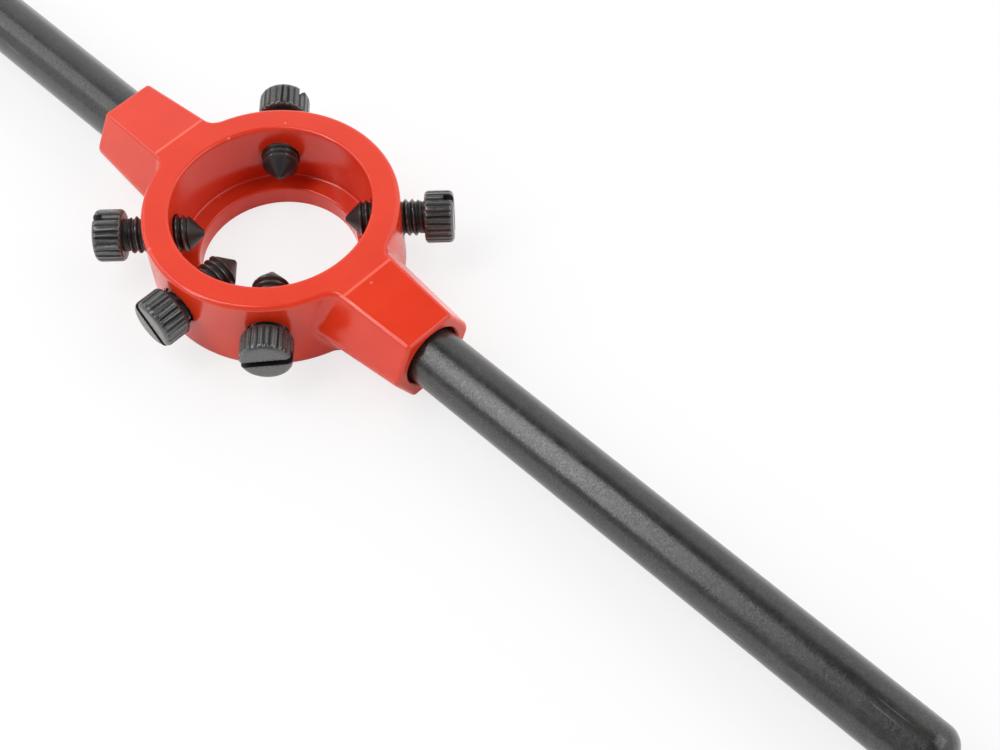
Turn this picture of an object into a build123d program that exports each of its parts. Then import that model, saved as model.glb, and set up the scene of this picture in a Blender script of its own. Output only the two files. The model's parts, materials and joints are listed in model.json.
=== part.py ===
"""Die stock for round threading dies: cast holder with two arms, two handle rods and five knurled screws.

Millimetres. The origin is where the axis of the ring meets the seat of the die. +Z leaves through the mouth of
the ring, +X points the way of the right-hand handle, and the die's slot faces -Y.
"""

from build123d import *
import os
from math import cos, hypot, pi, radians, sin, tan

os.makedirs("parts", exist_ok=True)

# Round die the holder is made for
DIE_DIAMETER = 30.0
DIE_PLAY = 0.05  # radial

# Holder ring
SEAT_DEPTH = 10.6  # mouth to seat
SEAT_THICKNESS = 3.4  # flange under the die
THROUGH_DIAMETER = 24.2  # lets the threaded work pass
RING_WALL = 4.2
MOUTH_ROUNDING = 0.5
SEAT_EDGE_ROUNDING = 0.3
SEAT_CORNER_ROUNDING = 0.4

# Arms, drafted both ways from a parting plane at mid-height
CREASE_DISTANCE = 1.1  # ring wall to the line where the sloping facets begin
ARM_LENGTH = 13.0  # crease to end face
ARM_OFFSET = 0.55  # each arm's centre line to the left of the ring's axis, looking out along the arm
ARM_END_WIDTH = 14.8  # at the parting plane
ARM_TAPER = 5.4  # degrees a side, seen from above
FLANK_DRAFT = 28.5  # degrees
FACET_SLOPE = 4.5  # degrees
CREASE_ROUNDING = 8.0
FLANK_ROUNDING = 2.0  # along the parting plane
JUNCTION_ROUNDING = 2.0  # arm flank into ring wall
EDGE_ROUNDING = 0.7  # every outer edge
HOLE_CHAMFER = 0.25  # rims of the screw holes and the counterbores

# Handle rods
HANDLE_DIAMETER = 9.0
HANDLE_LENGTH = 94.3  # shoulder to rounded end
HANDLE_END_ROUNDING = 3.2
SHOULDER_CHAMFER = 0.4
SPIGOT_THREAD = 8.0
SPIGOT_PLAY = 0.06  # radial, in the arm's thread
SPIGOT_LENGTH = 9.0
SPIGOT_CHAMFER = 0.8
SPIGOT_END_ROOM = 0.5  # thread hole beyond the spigot
COUNTERBORE_DEPTH = 3.0
COUNTERBORE_PLAY = 0.45  # radial

# Knurled screws
SCREW_THREAD = 6.0
SCREW_PLAY = 0.2  # radial, of the rolled thread in the ring's
SCREW_HEIGHT = 4.4  # axis above the seat
SCREW_REACH = 7.5  # tip beyond the bore wall when driven in
HEAD_GAP = 0.3  # head to ring wall when driven in
CONE_ANGLE = 90.0
TIP_DIAMETER = 0.7
POINT_DIAMETER = 4.5  # of the cone where the thread begins
THREAD_START = 0.6  # lead-in from the cone to the full thread
NECK_DIAMETER = 4.9  # plain neck between the thread and the head
NECK_LENGTH = 0.8
HEAD_DIAMETER = 7.85
HEAD_LENGTH = 4.4
HEAD_INNER_CHAMFER = 0.4
HEAD_OUTER_CHAMFER = 0.7
KNURL_RIBS = 24
KNURL_DEPTH = 0.28
KNURL_LAND = 0.5  # crest width of a rib
SLOT_WIDTH = 1.2
SLOT_DEPTH = 1.5

# Where the screws stand round the ring, and how far each is backed out of its driven-in place
DIE_SLOT_BEARING = -90.0
CLOSING_SPREAD = 45.0  # closing screws to either side of the slot screw
HOLDING_SPREAD = 45.0  # holding screws to either side of the far point
SLOT_SCREW_OUT = 0.4
CLOSING_LEFT_OUT = 3.1
CLOSING_RIGHT_OUT = 0.4
HOLDING_LEFT_OUT = 2.95
HOLDING_RIGHT_OUT = 3.0
HOLDING_RIGHT_ASIDE = 2.05  # this hole's axis passes the ring's axis at this distance

# Turn of each screwdriver slot about its screw, from level
SLOT_SCREW_TURN = 136.0
CLOSING_LEFT_TURN = 97.0
CLOSING_RIGHT_TURN = 6.0
HOLDING_LEFT_TURN = 144.0
HOLDING_RIGHT_TURN = 80.0

# Derived
BORE_RADIUS = DIE_DIAMETER / 2 + DIE_PLAY
THROUGH_RADIUS = THROUGH_DIAMETER / 2
RING_RADIUS = BORE_RADIUS + RING_WALL
TOP = SEAT_DEPTH
BOTTOM = -SEAT_THICKNESS
HEIGHT = TOP - BOTTOM
PARTING = (TOP + BOTTOM) / 2
CREASE_X = RING_RADIUS + CREASE_DISTANCE
ARM_END_X = CREASE_X + ARM_LENGTH
SHOULDER_X = ARM_END_X - COUNTERBORE_DEPTH
SHANK_LENGTH = RING_WALL + SCREW_REACH + HEAD_GAP
SHANK_RADIUS = SCREW_THREAD / 2 - SCREW_PLAY

# name: bearing, hole aside, backed out, slot turned
SCREWS = {
    "slot_screw": (DIE_SLOT_BEARING, 0, SLOT_SCREW_OUT, SLOT_SCREW_TURN),
    "closing_screw_left": (DIE_SLOT_BEARING - CLOSING_SPREAD, 0, CLOSING_LEFT_OUT, CLOSING_LEFT_TURN),
    "closing_screw_right": (DIE_SLOT_BEARING + CLOSING_SPREAD, 0, CLOSING_RIGHT_OUT, CLOSING_RIGHT_TURN),
    "holding_screw_left": (DIE_SLOT_BEARING + 180 + HOLDING_SPREAD, 0, HOLDING_LEFT_OUT, HOLDING_LEFT_TURN),
    "holding_screw_right": (
        DIE_SLOT_BEARING + 180 - HOLDING_SPREAD,
        HOLDING_RIGHT_ASIDE,
        HOLDING_RIGHT_OUT,
        HOLDING_RIGHT_TURN,
    ),
}

NEAR = 1e-4  # tolerance for picking edges
MOSTLY = 0.8  # share of a direction that counts as pointing that way
SQUARE = 0.99  # and as square to the arm
CUT_ROOM = 1.0  # cutters run this far past the face they leave through
FROM_BASE = (Align.CENTER, Align.CENTER, Align.MIN)  # cylinders stand on their base


def rod(radius, start, end):
    """Cylinder on the X axis from start to end."""
    return Pos(start, 0, 0) * Rot(Y=90) * Cylinder(radius, end - start, align=FROM_BASE)


def disc(radius, low, high):
    """Cylinder on the Z axis from low to high."""
    return Pos(0, 0, low) * Cylinder(radius, high - low, align=FROM_BASE)


def screw_axis(bearing, aside):
    """Place whose X axis is the axis of a screw hole, pointing out of the ring."""
    return Pos(0, 0, SCREW_HEIGHT) * Rot(Z=bearing) * Pos(0, aside, 0)


def arm_axis(bearing):
    """Place whose X axis is the axis of an arm, pointing out of the ring."""
    return Rot(Z=bearing) * Pos(0, ARM_OFFSET, 0)


def rim(body, radius, height):
    """Circular edges of this radius about the Z axis at this height."""
    circles = body.edges().filter_by(GeomType.CIRCLE)
    return circles.filter_by(lambda e: abs(e.radius - radius) < NEAR and abs(e.position_at(0).Z - height) < NEAR)


def arm():
    """Arm along +X, run in to the ring's axis."""
    half_end = ARM_END_WIDTH / 2
    half_root = half_end + ARM_END_X * tan(radians(ARM_TAPER))
    seen_from_above = Polyline(
        (0, -half_root),
        (ARM_END_X, -half_end),
        (ARM_END_X, half_end),
        (0, half_root),
        close=True,
    )
    upper = extrude(Pos(0, 0, PARTING) * make_face(seen_from_above), HEIGHT / 2)
    flanks = upper.faces().filter_by(lambda f: abs(f.normal_at().Y) > MOSTLY)
    upper = draft(flanks, Plane.XY.offset(PARTING), FLANK_DRAFT)

    seen_from_side = Polyline(
        (0, PARTING),
        (0, TOP),
        (CREASE_X, TOP),
        (ARM_END_X, TOP - ARM_LENGTH * tan(radians(FACET_SLOPE))),
        (ARM_END_X, PARTING),
        close=True,
    )
    side = make_face(seen_from_side)
    side = fillet(side.vertices().sort_by_distance((CREASE_X, TOP))[:1], CREASE_ROUNDING)
    upper &= extrude(Plane.XZ * side, half_root, both=True)

    whole = upper + mirror(upper, Plane.XY.offset(PARTING))
    lengthwise = whole.edges().filter_by(lambda e: abs((e % 0.5).X) > MOSTLY)
    return fillet(lengthwise.filter_by_position(Axis.Z, PARTING - NEAR, PARTING + NEAR), FLANK_ROUNDING)


def holder():
    """Cast ring with both arms, bored for the die and drilled for screws and handles."""
    one_arm = arm()
    body = disc(RING_RADIUS, BOTTOM, TOP) + arm_axis(0) * one_arm + arm_axis(180) * one_arm

    def on_wall(edge):
        at_wall = all(abs(hypot(p.X, p.Y) - RING_RADIUS) < NEAR for p in (edge @ 0, edge @ 0.5, edge @ 1))
        return at_wall and BOTTOM + NEAR < (edge @ 0.5).Z < TOP - NEAR

    body = fillet(body.edges().filter_by(on_wall), JUNCTION_ROUNDING)

    def outer(edge):
        middle = edge @ 0.5
        face = abs(middle.Z - TOP) < NEAR or abs(middle.Z - BOTTOM) < NEAR
        end = abs(abs(middle.X) - ARM_END_X) < NEAR
        return end or (face and abs((edge % 0.5).Y) < SQUARE)

    body = fillet(body.edges().filter_by(outer), EDGE_ROUNDING)

    body -= disc(BORE_RADIUS, 0, TOP)
    body -= disc(THROUGH_RADIUS, BOTTOM, 0)
    body = fillet(rim(body, BORE_RADIUS, TOP), MOUTH_ROUNDING)
    body = fillet(rim(body, BORE_RADIUS, 0), SEAT_CORNER_ROUNDING)
    body = fillet(rim(body, THROUGH_RADIUS, 0) + rim(body, THROUGH_RADIUS, BOTTOM), SEAT_EDGE_ROUNDING)

    screw_hole = rod(SCREW_THREAD / 2, THROUGH_RADIUS, RING_RADIUS + CUT_ROOM)
    for bearing, aside, _, _ in SCREWS.values():
        body -= screw_axis(bearing, aside) * screw_hole

    thread_end = SHOULDER_X - SPIGOT_LENGTH - SPIGOT_END_ROOM
    socket = rod(SPIGOT_THREAD / 2, thread_end, SHOULDER_X)
    socket += rod(HANDLE_DIAMETER / 2 + COUNTERBORE_PLAY, SHOULDER_X, ARM_END_X + CUT_ROOM)
    for bearing in (0, 180):
        body -= Pos(0, 0, PARTING) * arm_axis(bearing) * socket

    def mouth_of_hole(edge):
        in_end = edge.geom_type == GeomType.CIRCLE and abs(abs(edge.position_at(0).X) - ARM_END_X) < NEAR
        return in_end or (edge.is_closed and on_wall(edge))

    return chamfer(body.edges().filter_by(mouth_of_hole), HOLE_CHAMFER)


def handle():
    """Handle rod along +X with its shoulder at the origin and its threaded spigot behind it."""
    grip = rod(HANDLE_DIAMETER / 2, 0, HANDLE_LENGTH)
    ends = grip.edges().sort_by(Axis.X)
    grip = chamfer(ends[:1], SHOULDER_CHAMFER)
    grip = fillet(grip.edges().sort_by(Axis.X)[-1:], HANDLE_END_ROUNDING)
    spigot = rod(SPIGOT_THREAD / 2 - SPIGOT_PLAY, -SPIGOT_LENGTH, 0)
    return grip + chamfer(spigot.edges().sort_by(Axis.X)[:1], SPIGOT_CHAMFER)


def knurled_head():
    """Screw head with straight ribs, from the origin along +X."""
    radius = HEAD_DIAMETER / 2
    head = rod(radius, 0, HEAD_LENGTH)
    head = chamfer(head.edges().sort_by(Axis.X)[:1], HEAD_INNER_CHAMFER)
    head = chamfer(head.edges().sort_by(Axis.X)[-1:], HEAD_OUTER_CHAMFER)
    pitch = 2 * pi / KNURL_RIBS
    crest = KNURL_LAND / radius / 2
    rib = [(radius, -crest), (radius, crest), (radius - KNURL_DEPTH, pitch / 2)]
    points = [(r * cos(a + n * pitch), r * sin(a + n * pitch)) for n in range(KNURL_RIBS) for r, a in rib]
    return head & extrude(Plane.YZ * make_face(Polyline(*points, close=True)), HEAD_LENGTH)


def screw():
    """Knurled screw along +X with its cone point at the origin and its slot level."""
    tip = TIP_DIAMETER / 2
    point = POINT_DIAMETER / 2
    neck = NECK_DIAMETER / 2
    cone_end = (point - tip) / tan(radians(CONE_ANGLE / 2))
    thread_end = SHANK_LENGTH - NECK_LENGTH
    half_section = Polyline(
        (0, 0),
        (0, tip),
        (cone_end, point),
        (cone_end + THREAD_START, SHANK_RADIUS),
        (thread_end, SHANK_RADIUS),
        (thread_end, neck),
        (SHANK_LENGTH, neck),
        (SHANK_LENGTH, 0),
        close=True,
    )
    body = revolve(make_face(half_section), Axis.X) + Pos(SHANK_LENGTH, 0, 0) * knurled_head()
    slot_floor = SHANK_LENGTH + HEAD_LENGTH - SLOT_DEPTH
    slot = Box(SLOT_DEPTH, HEAD_DIAMETER, SLOT_WIDTH, align=(Align.MIN, Align.CENTER, Align.CENTER))
    return body - Pos(slot_floor, 0, 0) * slot


export_step(holder(), "parts/die_holder.step")

one_handle = handle()
for name, bearing in (("handle_right", 0), ("handle_left", 180)):
    seated = Pos(0, 0, PARTING) * arm_axis(bearing) * Pos(SHOULDER_X, 0, 0)
    export_step(seated * one_handle, f"parts/{name}.step")

one_screw = screw()
for name, (bearing, aside, backed_out, turn) in SCREWS.items():
    tip_radius = BORE_RADIUS - SCREW_REACH + backed_out
    place = screw_axis(bearing, aside) * Pos(tip_radius, 0, 0) * Rot(X=turn)
    export_step(place * one_screw, f"parts/{name}.step")
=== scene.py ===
"""Looks of the die stock: red enamel, black oxide, and screws with real threads and knurled, slotted heads.

Metres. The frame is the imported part: +Z leaves through the mouth of the ring, +X runs along the right-hand
handle, and the screw for a split die's slot stands towards -Y.
"""

import json

import bmesh
import bpy
import numpy as np
from bpy.props import FloatProperty, FloatVectorProperty, IntProperty, PointerProperty
from bpy.types import Operator, Panel, PropertyGroup
from mathutils import Matrix, Vector


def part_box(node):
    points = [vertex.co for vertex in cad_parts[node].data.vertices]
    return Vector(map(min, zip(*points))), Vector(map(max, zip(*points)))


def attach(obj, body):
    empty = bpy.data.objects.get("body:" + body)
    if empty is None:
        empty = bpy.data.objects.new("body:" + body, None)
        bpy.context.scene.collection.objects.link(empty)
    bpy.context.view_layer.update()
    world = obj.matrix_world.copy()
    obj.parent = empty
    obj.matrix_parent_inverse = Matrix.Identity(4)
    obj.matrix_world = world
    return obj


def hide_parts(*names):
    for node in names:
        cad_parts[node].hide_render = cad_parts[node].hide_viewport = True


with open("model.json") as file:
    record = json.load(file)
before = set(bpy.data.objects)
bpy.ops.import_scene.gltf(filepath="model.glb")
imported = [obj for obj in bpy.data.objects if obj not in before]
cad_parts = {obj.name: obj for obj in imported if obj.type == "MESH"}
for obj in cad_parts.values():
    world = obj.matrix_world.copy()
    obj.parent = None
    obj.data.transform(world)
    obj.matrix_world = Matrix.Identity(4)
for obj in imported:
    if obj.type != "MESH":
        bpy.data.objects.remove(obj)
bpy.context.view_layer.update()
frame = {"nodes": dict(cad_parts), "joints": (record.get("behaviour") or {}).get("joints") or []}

bl_info = {
    "name": "Die stock finish",
    "version": (1, 0, 0),
    "blender": (4, 5, 0),
    "location": "View3D > Sidebar > Die Stock",
    "description": "Enamel, black oxide and threaded, knurled screws for a die stock",
    "category": "Object",
}

MM = 0.001

# Turn of each screwdriver slot about its screw, in degrees from level
SLOT_TURNS = {
    "slot_screw": 136.0,
    "closing_screw_left": 97.0,
    "closing_screw_right": 6.0,
    "holding_screw_left": 144.0,
    "holding_screw_right": 80.0,
}

# Turn of each thread about its screw, in degrees
THREAD_TURNS = {
    "slot_screw": 40.0,
    "closing_screw_left": 200.0,
    "closing_screw_right": 310.0,
    "holding_screw_left": 120.0,
    "holding_screw_right": 260.0,
}

# Small marks in the enamel: place on the part and radius, in millimetres
BLEMISHES = (
    ((-14.5, 4.5, 10.5), 0.35),
    ((-6.7, -17.7, 10.6), 0.40),
    ((-10.5, 12.4, 10.6), 0.25),
    ((21.4, 0.4, 10.5), 0.25),
)

# Colours where a finish is damaged; the enamel's lighter red also paints a glint on its marks and pinholes
CHIPPED_ENAMEL_AND_GLINT = (0.86, 0.30, 0.20)
SCRATCHED_ROD = (0.18, 0.175, 0.165)
SCUFFED_SCREW = (0.17, 0.168, 0.16)

# Mesh of a screw: rows in a pitch of thread, reach of the weld in metres, sharpest smooth edge in degrees
ROWS_PER_PITCH = 14
WELD = 1e-7
SMOOTH_ANGLE = 38

# Lamps: name, direction from the ring, direction of the second side, distance, sides, setting of the power
STRIP = (0, 0.87, 0.49)
SOFTBOXES = (
    ("strip_softbox", (-0.33, -0.46, 0.82), STRIP, 0.8, (0.11, 1.0), "key_strength"),
    ("strip_tail", (-0.14, -0.46, 0.88), STRIP, 0.8, (0.08, 0.65), "key_tail"),
    ("left_softbox", (-0.66, -0.31, 0.68), (0, 1, 0), 0.9, (0.6, 0.5), "left_strength"),
    ("left_tail", (-0.66, -0.64, 0.40), (0, 1, 0), 0.9, (0.6, 0.5), "left_tail"),
    ("back_softbox", (0.45, 0.50, 0.74), (0, 1, 0), 0.9, (0.6, 0.6), "fill_strength"),
)

# Walls of the room: brightness, and the sines of elevation between which each fades to the ceiling
FAR_WALL = (0.84, 0.68, 0.88)
NEAR_WALL = (0.35, 0.35, 0.75)
CEILING = 0.16

BENCH_HALF = 3.0
BENCH_WHITE = (0.9, 0.9, 0.9, 1)
BENCH_GLOW_SHARE = 0.75
SENSOR_WIDTH = 36


class DieStockScrews(PropertyGroup):
    """Sizes of the knurled screws."""

    thread_pitch: FloatProperty(
        name="Thread pitch", description="Advance in one turn",
        default=1.0 * MM, min=0.4 * MM, unit="LENGTH")
    thread_radius: FloatProperty(
        name="Thread radius", description="Radius over the crests of the thread",
        default=2.80 * MM, unit="LENGTH")
    thread_depth: FloatProperty(
        name="Thread depth", description="Crest to root", default=0.45 * MM, unit="LENGTH")
    tip_radius: FloatProperty(
        name="Tip radius", description="Radius of the blunt point", default=0.35 * MM, unit="LENGTH")
    point_radius: FloatProperty(
        name="Point radius", description="Radius of the cone where the thread begins",
        default=2.25 * MM, unit="LENGTH")
    thread_start: FloatProperty(
        name="Thread start", description="Lead-in from the cone to the full thread",
        default=0.6 * MM, unit="LENGTH")
    neck_radius: FloatProperty(
        name="Neck radius", description="Plain neck between thread and head",
        default=2.45 * MM, unit="LENGTH")
    neck_length: FloatProperty(
        name="Neck length", description="Length of the plain neck", default=0.8 * MM, unit="LENGTH")
    head_length: FloatProperty(
        name="Head length", description="Underside to slotted face", default=4.4 * MM, unit="LENGTH")
    inner_rounding: FloatProperty(
        name="Inner rounding", description="Round of the head next to the ring",
        default=0.55 * MM, unit="LENGTH")
    outer_rounding: FloatProperty(
        name="Outer rounding", description="Round of the head at its slotted face",
        default=0.8 * MM, unit="LENGTH")
    ribs: IntProperty(name="Ribs", description="Straight ribs round the head", default=24, min=8)
    rib_depth: FloatProperty(
        name="Rib depth", description="Crest to groove of the knurl", default=0.3 * MM, unit="LENGTH")
    rib_drift: FloatProperty(
        name="Rib drift", description="How far the ribs stray from even spacing, as a share of their pitch",
        default=0.09)
    rib_line: FloatProperty(
        name="Rib line", description="Depth of the fine line along each rib",
        default=0.05 * MM, unit="LENGTH")
    slot_width: FloatProperty(
        name="Slot width", description="Width of the screwdriver slot", default=1.2 * MM, unit="LENGTH")
    slot_depth: FloatProperty(
        name="Slot depth", description="Depth of the screwdriver slot", default=1.5 * MM, unit="LENGTH")


class DieStockFinish(PropertyGroup):
    """Colours of the finishes."""

    enamel: FloatVectorProperty(
        name="Enamel", description="Red of the holder", subtype="COLOR",
        default=(0.74, 0.040, 0.010), size=3, min=0, max=1)
    enamel_deep: FloatVectorProperty(
        name="Deep enamel", description="Red where the coat is thick", subtype="COLOR",
        default=(0.70, 0.034, 0.009), size=3, min=0, max=1)
    # Lighter red of thin paint on the edges, which also serves as a painted highlight on the edges and the
    # arms' creases
    enamel_thin: FloatVectorProperty(
        name="Thin enamel", description="Lighter red along the edges", subtype="COLOR",
        default=(0.90, 0.16, 0.10), size=3, min=0, max=1)
    edge_width: FloatProperty(
        name="Edge width", description="Width of the light line on sharp edges",
        default=0.25 * MM, unit="LENGTH")
    crease_distance: FloatProperty(
        name="Crease distance", description="Ring wall to the crease of each arm",
        default=1.1 * MM, unit="LENGTH")
    rod_oxide: FloatVectorProperty(
        name="Rod oxide", description="Black of the handle rods", subtype="COLOR",
        default=(0.011, 0.011, 0.0115), size=3, min=0, max=1)
    rod_bloom: FloatVectorProperty(
        name="Rod bloom", description="Grey patches on the rods", subtype="COLOR",
        default=(0.030, 0.030, 0.028), size=3, min=0, max=1)
    screw_oxide: FloatVectorProperty(
        name="Screw oxide", description="Black of the screws", subtype="COLOR",
        default=(0.014, 0.014, 0.014), size=3, min=0, max=1)
    screw_bloom: FloatVectorProperty(
        name="Screw bloom", description="Grey of the screws' worn crests", subtype="COLOR",
        default=(0.060, 0.060, 0.058), size=3, min=0, max=1)


class DieStockStage(PropertyGroup):
    """Camera and light."""

    distance: FloatProperty(
        name="Distance", description="Camera to the middle of the ring's mouth",
        default=0.28305, unit="LENGTH")
    azimuth: FloatProperty(name="Azimuth", description="Camera's side, from +X", default=-32.966)
    elevation: FloatProperty(
        name="Elevation", description="Camera's height above the bench, in degrees", default=49.352)
    pan: FloatProperty(name="Pan", description="Turn to the right of the ring, in degrees", default=5.830)
    tilt: FloatProperty(name="Tilt", description="Turn below the ring, in degrees", default=6.323)
    roll: FloatProperty(
        name="Roll", description="Turn about the line of sight, in degrees", default=-10.658)
    lens: FloatProperty(
        name="Lens", description="Focal length on a 36 mm wide sensor",
        default=68.16, subtype="DISTANCE_CAMERA")
    key_strength: FloatProperty(name="Key", description="Power of the strip softbox in watts", default=2.5)
    key_tail: FloatProperty(
        name="Key's tail", description="Power of the strip's paler end in watts", default=0.46)
    left_strength: FloatProperty(
        name="Left", description="Power of the softbox on the left in watts", default=1.75)
    left_tail: FloatProperty(
        name="Left's tail", description="Power of its paler lower half in watts", default=0.5)
    fill_strength: FloatProperty(
        name="Fill", description="Power of the softbox behind the part in watts", default=1.7)
    world_strength: FloatProperty(
        name="Surroundings", description="Brightness of the room's far wall", default=1.2)
    floor_reflection: FloatProperty(
        name="Floor", description="Glow that glossy surfaces see in the floor", default=0.34)


def new_tree(name):
    """Empty node material, its tree and its Principled shader."""
    material = bpy.data.materials.new(name)
    material.use_nodes = True
    tree = material.node_tree
    tree.nodes.clear()
    output = tree.nodes.new("ShaderNodeOutputMaterial")
    shader = tree.nodes.new("ShaderNodeBsdfPrincipled")
    tree.links.new(shader.outputs["BSDF"], output.inputs["Surface"])
    return material, tree, shader


def feed(tree, socket, value):
    """Link an output to a socket, or set a constant on it."""
    if isinstance(value, bpy.types.NodeSocket):
        tree.links.new(value, socket)
    else:
        socket.default_value = value


def stretched(tree, vector, stretch):
    """A vector scaled per axis."""
    mapping = tree.nodes.new("ShaderNodeMapping")
    feed(tree, mapping.inputs["Vector"], vector)
    mapping.inputs["Scale"].default_value = stretch
    return mapping.outputs["Vector"]


def coordinates(tree, stretch=(1, 1, 1)):
    """Object coordinates, stretched per axis."""
    return stretched(tree, tree.nodes.new("ShaderNodeTexCoord").outputs["Object"], stretch)


def stored(tree, name, output):
    """Value or vector that a mesh stores per vertex."""
    node = tree.nodes.new("ShaderNodeAttribute")
    node.attribute_name = name
    return node.outputs[output]


def noise(tree, vector, grain, detail=3.0, roughness=0.55):
    """Noise whose features are about this large, in metres."""
    node = tree.nodes.new("ShaderNodeTexNoise")
    feed(tree, node.inputs["Vector"], vector)
    node.inputs["Scale"].default_value = 1 / grain
    node.inputs["Detail"].default_value = detail
    node.inputs["Roughness"].default_value = roughness
    return node.outputs["Fac"]


def math(tree, operation, a, b=0.0, clamp=False):
    """One Math node."""
    node = tree.nodes.new("ShaderNodeMath")
    node.operation = operation
    node.use_clamp = clamp
    feed(tree, node.inputs[0], a)
    feed(tree, node.inputs[1], b)
    return node.outputs[0]


def remap(tree, value, low, high, to_low=0.0, to_high=1.0, smooth=False):
    """Map a value from one range to another, clamped."""
    node = tree.nodes.new("ShaderNodeMapRange")
    node.interpolation_type = "SMOOTHSTEP" if smooth else "LINEAR"
    feed(tree, node.inputs["Value"], value)
    for name, number in (("From Min", low), ("From Max", high), ("To Min", to_low), ("To Max", to_high)):
        node.inputs[name].default_value = number
    return node.outputs["Result"]


def blend(tree, factor, a, b):
    """Mix two colours."""
    node = tree.nodes.new("ShaderNodeMix")
    node.data_type = "RGBA"
    feed(tree, node.inputs["Factor"], factor)
    feed(tree, node.inputs["A"], (*a, 1) if isinstance(a, tuple) else a)
    feed(tree, node.inputs["B"], (*b, 1) if isinstance(b, tuple) else b)
    return node.outputs["Result"]


def bump(tree, height, distance, strength=1.0, normal=None):
    """Bump of this height in metres."""
    node = tree.nodes.new("ShaderNodeBump")
    node.inputs["Distance"].default_value = distance
    node.inputs["Strength"].default_value = strength
    feed(tree, node.inputs["Height"], height)
    if normal is not None:
        feed(tree, node.inputs["Normal"], normal)
    return node.outputs["Normal"]


def near_point(tree, place, centre, radius):
    """1 at a point of the part, in metres, fading to 0 at this radius."""
    gap = tree.nodes.new("ShaderNodeVectorMath")
    gap.operation = "DISTANCE"
    feed(tree, gap.inputs[0], place)
    gap.inputs[1].default_value = centre
    return remap(tree, gap.outputs["Value"], 0.3 * radius, radius, 1.0, 0.0, smooth=True)


def enamel_edge_paint_and_highlight(tree, place, finish):
    """Share of lighter red: thin paint plus a painted highlight on every sharp edge, and a painted highlight
    along the crease where each arm's facet begins.
    """
    bevel = tree.nodes.new("ShaderNodeBevel")
    bevel.samples = 6
    bevel.inputs["Radius"].default_value = finish.edge_width
    geometry = tree.nodes.new("ShaderNodeNewGeometry")
    dot = tree.nodes.new("ShaderNodeVectorMath")
    dot.operation = "DOT_PRODUCT"
    feed(tree, dot.inputs[0], bevel.outputs["Normal"])
    feed(tree, dot.inputs[1], geometry.outputs["Normal"])
    # Sharp edges found by the bevel: thin paint there, with a painted highlight
    edges = remap(tree, dot.outputs["Value"], 0.90, 0.995, 0.6, 0.0, smooth=True)
    axes = tree.nodes.new("ShaderNodeSeparateXYZ")
    feed(tree, axes.inputs[0], place)
    crease_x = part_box("die_holder")[1].y + finish.crease_distance
    from_middle = math(tree, "ABSOLUTE", axes.outputs["X"])
    beside = math(tree, "ABSOLUTE", math(tree, "SUBTRACT", from_middle, crease_x))
    # Painted highlight: a light line along each arm's crease, on level faces only
    crease = remap(tree, beside, 0.10 * MM, 0.32 * MM, 0.75, 0.0, smooth=True)
    upward = tree.nodes.new("ShaderNodeSeparateXYZ")
    feed(tree, upward.inputs[0], geometry.outputs["Normal"])
    level = math(tree, "GREATER_THAN", math(tree, "ABSOLUTE", upward.outputs["Z"]), 0.97)
    return math(tree, "MAXIMUM", edges, math(tree, "MULTIPLY", crease, level))


def red_enamel(finish):
    """Glossy red enamel on a casting: cloudiness, edges lighter by thin paint and painted highlight, orange
    peel, rare pinholes and a few marks with a painted glint.
    """
    material, tree, shader = new_tree("red_enamel_coat")
    place = coordinates(tree)
    cloud = remap(tree, noise(tree, place, 9 * MM), 0.35, 0.65)
    coat = blend(tree, cloud, tuple(finish.enamel), tuple(finish.enamel_deep))
    # Lighter red on edges and creases: thin paint and painted highlight
    thin = enamel_edge_paint_and_highlight(tree, place, finish)
    coat = blend(tree, thin, coat, tuple(finish.enamel_thin))
    marks = 0.0
    for centre, radius in BLEMISHES:
        mark = near_point(tree, place, [c * MM for c in centre], radius * MM)
        marks = mark if marks == 0.0 else math(tree, "MAXIMUM", marks, mark)
    pinholes = tree.nodes.new("ShaderNodeTexVoronoi")
    feed(tree, pinholes.inputs["Vector"], place)
    pinholes.inputs["Scale"].default_value = 1 / (2.4 * MM)
    near = remap(tree, pinholes.outputs["Distance"], 0.03, 0.07, 1.0, 0.0, smooth=True)
    rare = math(tree, "GREATER_THAN", noise(tree, place, 6 * MM, detail=0), 0.68)
    pits_with_glint = math(tree, "MAXIMUM", math(tree, "MULTIPLY", near, rare), marks)
    # Marks and pinholes turn a lighter red: real pits, with a painted glint on them
    coat = blend(tree, math(tree, "MULTIPLY", pits_with_glint, 0.45), coat, CHIPPED_ENAMEL_AND_GLINT)
    feed(tree, shader.inputs["Base Color"], coat)
    sheen = noise(tree, place, 3 * MM, detail=4)
    feed(tree, shader.inputs["Roughness"], remap(tree, sheen, 0.3, 0.7, 0.14, 0.22))
    shader.inputs["IOR"].default_value = 1.5
    peel = bump(tree, noise(tree, place, 1.1 * MM, detail=2), 0.012 * MM)
    sunk = math(tree, "MULTIPLY", pits_with_glint, -1.0)
    feed(tree, shader.inputs["Normal"], bump(tree, sunk, 0.05 * MM, normal=peel))
    return material


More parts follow.
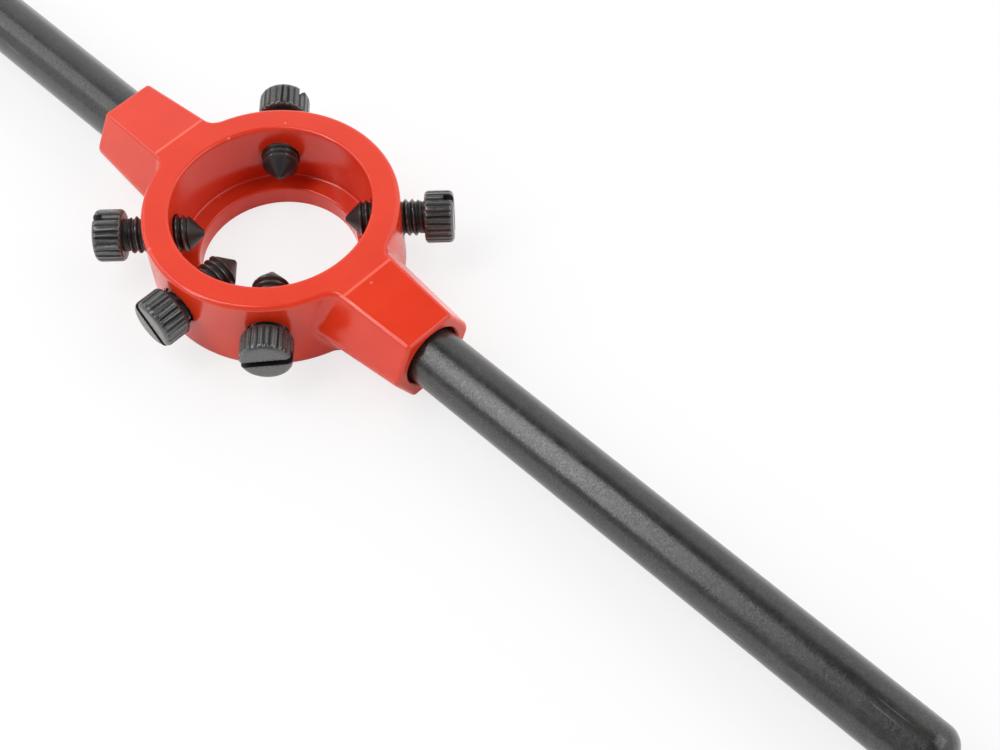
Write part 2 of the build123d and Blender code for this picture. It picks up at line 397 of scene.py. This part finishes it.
def rod_oxide(finish):
    """Black oxide on drawn rod: cloudy bloom, grain along the rod, glinting grit and a few scratches."""
    material, tree, shader = new_tree("rod_black_oxide")
    place = coordinates(tree)
    along = coordinates(tree, (0.12, 1, 1))
    bloom = noise(tree, place, 5 * MM, detail=5, roughness=0.65)
    grain = noise(tree, along, 0.35 * MM, detail=4)
    mottle = noise(tree, place, 0.7 * MM, detail=5, roughness=0.7)
    grit = noise(tree, place, 0.30 * MM, detail=3, roughness=0.7)
    shade = math(tree, "ADD", math(tree, "MULTIPLY", bloom, 0.6), math(tree, "MULTIPLY", mottle, 0.4))
    colour = blend(tree, remap(tree, shade, 0.36, 0.66), tuple(finish.rod_oxide), tuple(finish.rod_bloom))
    scratch_lines = noise(tree, coordinates(tree, (0.05, 1.6, 1.0)), 0.5 * MM, detail=1)
    scratches = math(tree, "MULTIPLY", remap(tree, scratch_lines, 0.735, 0.76, smooth=True), 0.35)
    specks = remap(tree, grit, 0.70, 0.80, 0.0, 0.35, smooth=True)
    light = math(tree, "MAXIMUM", scratches, specks)
    feed(tree, shader.inputs["Base Color"], blend(tree, light, colour, SCRATCHED_ROD))
    dull = remap(tree, bloom, 0.3, 0.7, -0.02, 0.03)
    feed(tree, shader.inputs["Roughness"], math(tree, "ADD", remap(tree, mottle, 0.3, 0.7, 0.17, 0.27), dull))
    feed(tree, shader.inputs["Specular IOR Level"], remap(tree, grit, 0.35, 0.65, 0.36, 0.64))
    shader.inputs["IOR"].default_value = 1.6
    fine = bump(tree, grain, 0.006 * MM)
    fine = bump(tree, grit, 0.014 * MM, normal=fine)
    feed(tree, shader.inputs["Normal"], bump(tree, mottle, 0.014 * MM, normal=fine))
    return material


def screw_oxide(finish):
    """Black oxide on rolled and knurled steel: grooves darkened as painted shade, greyer worn crests, fine
    marks along the screw.
    """
    material, tree, shader = new_tree("screw_black_oxide")
    place = stored(tree, "local", "Vector")
    crest = stored(tree, "crest", "Fac")
    mottle = noise(tree, place, 0.4 * MM, detail=5, roughness=0.7)
    marks = noise(tree, stretched(tree, place, (0.15, 1, 1)), 0.16 * MM, detail=3)
    # Lighter grey where the crest mark is high, as wear; the grooves keep the black as painted shade
    worn = math(tree, "MULTIPLY", crest, remap(tree, mottle, 0.32, 0.68, 0.25, 1.0))
    colour = blend(tree, worn, tuple(finish.screw_oxide), tuple(finish.screw_bloom))
    scuffs = math(tree, "MULTIPLY", remap(tree, marks, 0.62, 0.74, smooth=True), crest)
    colour = blend(tree, math(tree, "MULTIPLY", scuffs, 0.5), colour, SCUFFED_SCREW)
    feed(tree, shader.inputs["Base Color"], colour)
    dull = remap(tree, mottle, 0.3, 0.7, -0.04, 0.06)
    feed(tree, shader.inputs["Roughness"], math(tree, "ADD", remap(tree, crest, 0.3, 0.8, 0.38, 0.20), dull))
    feed(tree, shader.inputs["Specular IOR Level"], remap(tree, crest, 0.0, 0.8, 0.28, 0.60))
    shader.inputs["IOR"].default_value = 1.7
    fine = bump(tree, marks, 0.012 * MM)
    feed(tree, shader.inputs["Normal"], bump(tree, mottle, 0.018 * MM, normal=fine))
    return material


class ScrewSizes:
    """The settings of a screw with the length and head radius of its CAD solid."""

    def __init__(self, settings, length, head_radius):
        for name in settings.__annotations__:
            setattr(self, name, getattr(settings, name))
        self.head_radius = head_radius
        self.shank_length = length - self.head_length


def thread_radius(x, angle, sizes):
    """Radius of the shank at x from the tip and at an angle about it.

    A 60 degree vee carried round a right-handed helix: the share of a pitch between a point and the nearest
    crest line gives the drop, nothing over the crest's flat and the full depth in the root, on a flank that is
    a little hollow. The cone and the lead-in behind it cut it off, and so does the plain neck under the head
    with its 45 degree run-out.
    """
    share = (x / sizes.thread_pitch - angle / (2 * np.pi)) % 1
    from_crest = np.abs(share - 0.5)
    crest_flat, root_flat, hollow = 0.075, 0.09, 0.06
    drop = np.clip((from_crest - crest_flat) / (0.5 - crest_flat - root_flat), 0, 1)
    drop = drop + hollow * np.sin(np.pi * drop) * (1 - drop)
    cone = sizes.tip_radius + x
    past_cone = x - (sizes.point_radius - sizes.tip_radius)
    lead_in = sizes.point_radius + past_cone * (sizes.thread_radius - sizes.point_radius) / sizes.thread_start
    run_out = sizes.neck_radius + np.maximum(sizes.shank_length - sizes.neck_length - x, 0)
    limit = np.minimum(np.where(past_cone < 0, cone, lead_in), run_out)
    return np.minimum(sizes.thread_radius - sizes.thread_depth * np.clip(drop, 0, 1), limit)


def rib_columns(sizes):
    """Angles of the mesh columns round a screw, eight to a rib, and how deep each lies in the knurl.

    In each rib the columns stand at the crest's edges, at and beside its fine middle line, and down the
    groove. A sum of sines about the screw makes some grooves shallower than others.
    """
    share = np.array([-0.26, -0.07, 0.0, 0.07, 0.26, 0.37, 0.5, 0.63])
    flank, groove = 0.6 * sizes.rib_depth, sizes.rib_depth
    depth = np.array([0.0, 0.0, sizes.rib_line, 0.0, 0.0, flank, groove, flank])
    pitch = 2 * np.pi / sizes.ribs
    angle = ((np.arange(sizes.ribs)[:, None] + share) * pitch).ravel()
    uneven = 0.84 + 0.10 * np.sin(7 * angle + 1.3) + 0.06 * np.sin(17 * angle)
    return angle, np.tile(depth, sizes.ribs) * uneven


def rib_drift(sizes, along, angle):
    """Turn of each point of the knurl from its even place: sines about the screw and a slow wave along it.

    It fades out towards the screwdriver slot, whose walls have columns of their own.
    """
    away = np.clip((np.abs(np.sin(angle)) - 0.3) / 0.3, 0, 1)
    about = 0.6 * np.sin(11 * angle + 0.7) + 0.4 * np.sin(5 * angle)
    wave = 0.35 * np.sin(along[:, None] / sizes.head_length * 5 + 9 * angle)
    return sizes.rib_drift * 2 * np.pi / sizes.ribs * away * (about + wave)


def head_outline(sizes, steps=6):
    """Half section of the knurled head above its underside, from the ring's side to the slotted face.

    x from the underside and radius, with a quarter circle at each end and a row at the slot's floor.
    """
    radius, length = sizes.head_radius, sizes.head_length
    inner, outer = sizes.inner_rounding, sizes.outer_rounding
    floor = length - sizes.slot_depth
    turn = np.linspace(0, np.pi / 2, steps)
    x = [inner * (1 - np.cos(turn)), np.linspace(inner, floor, 5)[1:],
         np.linspace(floor, length - outer, 3)[1:], length - outer * (1 - np.sin(turn[1:]))]
    r = [radius - inner * (1 - np.sin(turn)), np.full(6, radius), radius - outer * (1 - np.cos(turn[1:]))]
    return np.concatenate(x), np.concatenate(r)


def grid_faces(rows, columns, closed):
    """Quads of a grid of vertices, row by row; a closed grid joins its last column to its first."""
    i = np.arange(rows - 1)[:, None] * columns
    j = np.arange(columns if closed else columns - 1)[None, :]
    k = (j + 1) % columns
    return np.stack([i + j, i + k, i + columns + k, i + columns + j], -1).reshape(-1, 4)


class Patches:
    """Grids of points and quads that are welded into one closed skin."""

    def __init__(self):
        self.points, self.faces, self.marks, self.count = [], [], [], 0

    def add(self, x, y, z, closed=False, mark=0.0):
        """Add a grid of points with a mark of each, 0 to 1: high on worn crests, low in grooves and recesses,
        which are painted darker as shade.
        """
        points = np.stack(np.broadcast_arrays(x, y, z), -1)
        rows, columns = points.shape[:2]
        self.faces.append(grid_faces(rows, columns, closed) + self.count)
        self.points.append(points.reshape(-1, 3))
        self.marks.append(np.broadcast_to(mark, (rows, columns)).ravel())
        self.count += rows * columns


def add_shank(skin, sizes, angle, thread_turn):
    """Threaded shank: a grid of x against angle with thread_radius as its radius, closed by the tip's flat.

    Returns the radius of its last row, where the head's underside begins.
    """
    rows = int(round(sizes.shank_length / sizes.thread_pitch * ROWS_PER_PITCH))
    x = np.linspace(0, sizes.shank_length, rows)[:, None]
    radius = thread_radius(x, angle + thread_turn, sizes)
    radius[0] = 0
    # Crest mark: low in the thread's roots, which are painted darker as shade
    crest = np.clip((radius - sizes.thread_radius + sizes.thread_depth) / sizes.thread_depth, 0, 1) ** 2
    x = np.concatenate([x[:1], x])
    radius = np.insert(radius, 1, sizes.tip_radius, axis=0)
    crest = np.concatenate([crest[:1], crest])
    skin.add(x, radius * np.cos(angle), radius * np.sin(angle), closed=True, mark=crest)
    return radius[-1]


def shares(row):
    """Where each value of a row lies between the row's ends, from 0 to 1."""
    return (row - row[0]) / (row[-1] - row[0])


def screw_skin(sizes, thread_turn):
    """Skin of a screw with its tip at the origin and its axis along +X, as patches.

    Head: its outline turned about X, each column sunk by its depth in the knurl and turned by its drift. The
    columns beside the slot stand on its walls. The slotted face is a stack of straight lines from its rim to
    the slot's edge. The walls and the floor are ruled between the ends of the slot, each line divided as the
    rim is, and the floor's division passes from one wall's to the other's.
    """
    skin = Patches()
    angle, sunk = rib_columns(sizes)
    shank_end = add_shank(skin, sizes, angle, thread_turn)

    along, outline = head_outline(sizes)
    half = sizes.slot_width / 2
    ribs_fade = np.clip((outline - (sizes.head_radius - sizes.outer_rounding)) / sizes.outer_rounding, 0, 1)
    r = np.minimum(outline[:, None], sizes.head_radius - sunk[None, :] * ribs_fade[:, None] ** 0.5)
    # Painted shade in the knurl's grooves: the mark falls with depth, and is high on the worn crests
    knurl_wear_and_shade = np.clip(1 - (outline[:, None] - r) / sizes.rib_depth, 0, 1)
    a = angle + rib_drift(sizes, along, angle)
    columns = len(angle)
    edge = int(np.argmin(np.abs(angle - np.arcsin(half / sizes.head_radius))))
    ends = (edge, columns // 2 + 4 - edge, columns // 2 + edge, columns + 4 - edge)
    for quarter, column in enumerate(ends):
        side = np.arcsin(half / r[:, column % columns])
        a[:, column % columns] = (side, np.pi - side, np.pi + side, 2 * np.pi - side)[quarter]
    x = sizes.shank_length + along[:, None] + 0 * r
    y, z = r * np.cos(a), r * np.sin(a)

    underside_y = np.stack([shank_end * np.cos(angle), y[0]])
    underside_z = np.stack([shank_end * np.sin(angle), z[0]])
    # Marks of the patches: low under the head and in the slot as painted shade, high on the worn slotted face
    skin.add(sizes.shank_length, underside_y, underside_z, closed=True, mark=0.2)
    floor = int(np.argmin(np.abs(along - (sizes.head_length - sizes.slot_depth))))
    skin.add(x[:floor + 1], y[:floor + 1], z[:floor + 1], closed=True, mark=knurl_wear_and_shade[:floor + 1])
    down = np.linspace(0, 1, 5)[:, None]
    divisions = []
    for first, last, wall in ((ends[0], ends[1], half), (ends[2], ends[3], -half)):
        land = np.arange(first, last + 1) % columns
        land_x, land_y, land_z = x[floor:, land], y[floor:, land], z[floor:, land]
        skin.add(land_x, land_y, land_z, mark=knurl_wear_and_shade[floor:, land])
        skin.add(land_x[-1], land_y[-1] + 0 * down, land_z[-1] + (wall - land_z[-1]) * down, mark=0.8)
        divisions.append(shares(land_y[-1]))
        wall_y = land_y[:, :1] + (land_y[:, -1:] - land_y[:, :1]) * divisions[-1]
        skin.add(land_x[:, :1], wall_y, wall, mark=0.1)
    right = np.arange(ends[3], ends[0] + columns + 1) % columns
    left = np.arange(ends[2], ends[1] - 1, -1)
    across = np.linspace(1 - divisions[1][::-1], divisions[0], len(right))
    floor_y = y[floor, right, None] + (y[floor, left] - y[floor, right])[:, None] * across
    floor_z = z[floor, right, None] + (z[floor, left] - z[floor, right])[:, None] * across
    skin.add(x[floor, 0], floor_y, floor_z, mark=0.0)
    return skin


def welded_mesh(name, skin, placement):
    """Weld the patches, store each point's place on the screw, face them outwards and place the mesh."""
    points = np.concatenate(skin.points)
    mesh = bpy.data.meshes.new(name)
    mesh.from_pydata(points, [], np.concatenate(skin.faces))
    crest = mesh.attributes.new("crest", "FLOAT", "POINT")
    crest.data.foreach_set("value", np.concatenate(skin.marks).astype(np.float32))
    local = mesh.attributes.new("local", "FLOAT_VECTOR", "POINT")
    local.data.foreach_set("vector", points.astype(np.float32).ravel())
    work = bmesh.new()
    work.from_mesh(mesh)
    bmesh.ops.remove_doubles(work, verts=work.verts, dist=WELD)
    bmesh.ops.recalc_face_normals(work, faces=work.faces)
    work.to_mesh(mesh)
    work.free()
    mesh.transform(placement)
    mesh.shade_smooth()
    mesh.set_sharp_from_angle(angle=np.radians(SMOOTH_ANGLE))
    return mesh


def screw_place(node):
    """Placement of a screw and its measures, read from its CAD solid: tip, slotted face and head radius."""
    joint = next(j for j in frame["joints"] if j["child"] == node)
    outward = -Vector(joint["axis"])
    solid = frame["nodes"][node].data
    points = np.zeros(len(solid.vertices) * 3)
    solid.vertices.foreach_get("co", points)
    points = points.reshape(-1, 3)
    reach = points @ np.array(outward)
    height = (points[:, 2].min() + points[:, 2].max()) / 2
    side = Vector((0, 0, 1)).cross(outward)
    across = points @ np.array(side)
    aside = (across.min() + across.max()) / 2
    head_radius = np.hypot(across - aside, points[:, 2] - height).max()
    tip = outward * reach.min() + side * aside + Vector((0, 0, height))
    turn = Matrix.Rotation(np.radians(SLOT_TURNS[node]), 4, "X")
    placement = Matrix.Translation(tip) @ Matrix((outward, side, (0, 0, 1))).transposed().to_4x4() @ turn
    return placement, reach.max() - reach.min(), head_radius


class DIESTOCK_OT_enamel_holder(Operator):
    """Finish the cast holder in red enamel"""

    bl_idname = "diestock.enamel_holder"
    bl_label = "Enamel the holder"

    def execute(self, context):
        frame["nodes"]["die_holder"].material_slots[0].material = red_enamel(context.scene.diestock_finish)
        return {"FINISHED"}


class DIESTOCK_OT_oxide_handles(Operator):
    """Finish both handle rods in black oxide"""

    bl_idname = "diestock.oxide_handles"
    bl_label = "Blacken the handles"

    def execute(self, context):
        material = rod_oxide(context.scene.diestock_finish)
        for node in ("handle_left", "handle_right"):
            frame["nodes"][node].material_slots[0].material = material
        return {"FINISHED"}


class DIESTOCK_OT_thread_screws(Operator):
    """Build the five screws with threads, knurled heads and slots"""

    bl_idname = "diestock.thread_screws"
    bl_label = "Thread and knurl the screws"

    def execute(self, context):
        settings = context.scene.diestock_screws
        material = screw_oxide(context.scene.diestock_finish)
        for node in SLOT_TURNS:
            placement, length, head_radius = screw_place(node)
            sizes = ScrewSizes(settings, length, head_radius)
            name = node + "_threaded"
            mesh = welded_mesh(name, screw_skin(sizes, np.radians(THREAD_TURNS[node])), placement)
            mesh.materials.append(material)
            piece = bpy.data.objects.new(name, mesh)
            context.scene.collection.objects.link(piece)
            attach(piece, node)
            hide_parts(node)
        return {"FINISHED"}


def softbox(scene, name, direction, along, distance, size, power):
    """Rectangular lamp that faces the ring from a direction, its second side lying along another."""
    lamp = bpy.data.lights.new(name, "AREA")
    lamp.shape = "RECTANGLE"
    lamp.size, lamp.size_y = size
    lamp.energy = power
    holder = bpy.data.objects.new(name, lamp)
    scene.collection.objects.link(holder)
    out = Vector(direction).normalized()
    across = Vector(along).cross(out).normalized()
    turn = Matrix((across, out.cross(across), out)).transposed().to_4x4()
    holder.matrix_world = Matrix.Translation(out * distance) @ turn


def photo_camera(scene, stage):
    """Camera at its azimuth and elevation about the ring's mouth, then panned, tilted and rolled."""
    mouth = Vector((0, 0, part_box("die_holder")[1].z))
    azimuth, elevation = np.radians(stage.azimuth), np.radians(stage.elevation)
    level = np.cos(elevation)
    back = Vector((level * np.cos(azimuth), level * np.sin(azimuth), np.sin(elevation)))
    right = Vector((-np.sin(azimuth), np.cos(azimuth), 0))
    looking = Matrix((right, back.cross(right), back)).transposed()
    aim = Matrix.Rotation(-np.radians(stage.pan), 3, "Y") @ Matrix.Rotation(-np.radians(stage.tilt), 3, "X")
    aim = looking @ aim @ Matrix.Rotation(np.radians(stage.roll), 3, "Z")
    data = bpy.data.cameras.new("photo_camera")
    data.sensor_width = SENSOR_WIDTH
    data.lens = stage.lens
    data.clip_start = 0.01
    camera = bpy.data.objects.new("photo_camera", data)
    camera.matrix_world = Matrix.Translation(mouth + back * stage.distance) @ aim.to_4x4()
    scene.collection.objects.link(camera)
    scene.camera = camera


def bench(scene, mirrored):
    """Pale floor under the ring: white to the camera with the object's shadow kept, aglow in reflections."""
    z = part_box("die_holder")[0].z
    corners = [(x * BENCH_HALF, y * BENCH_HALF, z) for x, y in ((-1, -1), (1, -1), (1, 1), (-1, 1))]
    mesh = bpy.data.meshes.new("bench")
    mesh.from_pydata(corners, [], [(0, 1, 2, 3)])
    floor = bpy.data.objects.new("bench", mesh)
    scene.collection.objects.link(floor)
    material = bpy.data.materials.new("bench_white")
    material.use_nodes = True
    tree = material.node_tree
    tree.nodes.clear()
    output = tree.nodes.new("ShaderNodeOutputMaterial")
    diffuse = tree.nodes.new("ShaderNodeBsdfDiffuse")
    diffuse.inputs["Color"].default_value = BENCH_WHITE
    glow = tree.nodes.new("ShaderNodeEmission")
    glow.inputs["Strength"].default_value = 1.0
    path = tree.nodes.new("ShaderNodeLightPath")
    reflected = tree.nodes.new("ShaderNodeEmission")
    feed(tree, reflected.inputs["Strength"], math(tree, "MULTIPLY", path.outputs["Is Glossy Ray"], mirrored))
    both = tree.nodes.new("ShaderNodeAddShader")
    feed(tree, both.inputs[0], diffuse.outputs[0])
    feed(tree, both.inputs[1], reflected.outputs[0])
    mix = tree.nodes.new("ShaderNodeMixShader")
    feed(tree, mix.inputs["Fac"], math(tree, "MULTIPLY", path.outputs["Is Camera Ray"], BENCH_GLOW_SHARE))
    feed(tree, mix.inputs[1], both.outputs[0])
    feed(tree, mix.inputs[2], glow.outputs[0])
    feed(tree, output.inputs["Surface"], mix.outputs[0])
    mesh.materials.append(material)


def surroundings(scene, strength):
    """World: white to the camera; to all else a dim room with a low, bright far wall and a paler near one."""
    world = bpy.data.worlds.new("studio")
    scene.world = world
    world.use_nodes = True
    tree = world.node_tree
    tree.nodes.clear()
    output = tree.nodes.new("ShaderNodeOutputWorld")
    room = tree.nodes.new("ShaderNodeBackground")
    axes = tree.nodes.new("ShaderNodeSeparateXYZ")
    feed(tree, axes.inputs[0], tree.nodes.new("ShaderNodeTexCoord").outputs["Generated"])
    far = remap(tree, axes.outputs["Y"], -0.25, 0.25, smooth=True)
    shade = CEILING
    for (brightness, low, high), where in ((FAR_WALL, far), (NEAR_WALL, math(tree, "SUBTRACT", 1.0, far))):
        wall = remap(tree, axes.outputs["Z"], low, high, brightness, 0.0, smooth=True)
        shade = math(tree, "ADD", math(tree, "MULTIPLY", wall, where), shade)
    feed(tree, room.inputs["Color"], shade)
    room.inputs["Strength"].default_value = strength
    white = tree.nodes.new("ShaderNodeBackground")
    path = tree.nodes.new("ShaderNodeLightPath")
    mix = tree.nodes.new("ShaderNodeMixShader")
    feed(tree, mix.inputs["Fac"], path.outputs["Is Camera Ray"])
    feed(tree, mix.inputs[1], room.outputs[0])
    feed(tree, mix.inputs[2], white.outputs[0])
    feed(tree, output.inputs["Surface"], mix.outputs[0])


class DIESTOCK_OT_stage(Operator):
    """Set up the floor, the light and the camera"""

    bl_idname = "diestock.stage"
    bl_label = "Set the stage"

    def execute(self, context):
        scene = context.scene
        stage = scene.diestock_stage
        scene.view_settings.view_transform = "Standard"
        bench(scene, stage.floor_reflection)
        surroundings(scene, stage.world_strength)
        for name, direction, along, distance, size, power in SOFTBOXES:
            softbox(scene, name, direction, along, distance, size, getattr(stage, power))
        photo_camera(scene, stage)
        return {"FINISHED"}


class DIESTOCK_PT_finish(Panel):
    """Sizes, colours and steps of the die stock's finish"""

    bl_idname = "DIESTOCK_PT_finish"
    bl_label = "Die Stock"
    bl_space_type = "VIEW_3D"
    bl_region_type = "UI"
    bl_category = "Die Stock"

    def draw(self, context):
        layout = self.layout
        for step in STEPS:
            layout.operator(step.bl_idname)
        for name in SETTINGS:
            group = getattr(context.scene, name)
            box = layout.box()
            for setting in group.__annotations__:
                box.prop(group, setting)


STEPS = (DIESTOCK_OT_enamel_holder, DIESTOCK_OT_oxide_handles, DIESTOCK_OT_thread_screws, DIESTOCK_OT_stage)
SETTINGS = {
    "diestock_screws": DieStockScrews,
    "diestock_finish": DieStockFinish,
    "diestock_stage": DieStockStage,
}


def register():
    """Register the settings, the steps and the panel."""
    for group in SETTINGS.values():
        bpy.utils.register_class(group)
    for name, group in SETTINGS.items():
        setattr(bpy.types.Scene, name, PointerProperty(type=group))
    for step in STEPS:
        bpy.utils.register_class(step)
    bpy.utils.register_class(DIESTOCK_PT_finish)


def unregister():
    """Take them away in the opposite order."""
    bpy.utils.unregister_class(DIESTOCK_PT_finish)
    for step in reversed(STEPS):
        bpy.utils.unregister_class(step)
    for name, group in SETTINGS.items():
        delattr(bpy.types.Scene, name)
        bpy.utils.unregister_class(group)


def main():
    register()
    bpy.ops.diestock.enamel_holder()
    bpy.ops.diestock.oxide_handles()
    bpy.ops.diestock.thread_screws()
    bpy.ops.diestock.stage()


if __name__ == "__main__":
    main()
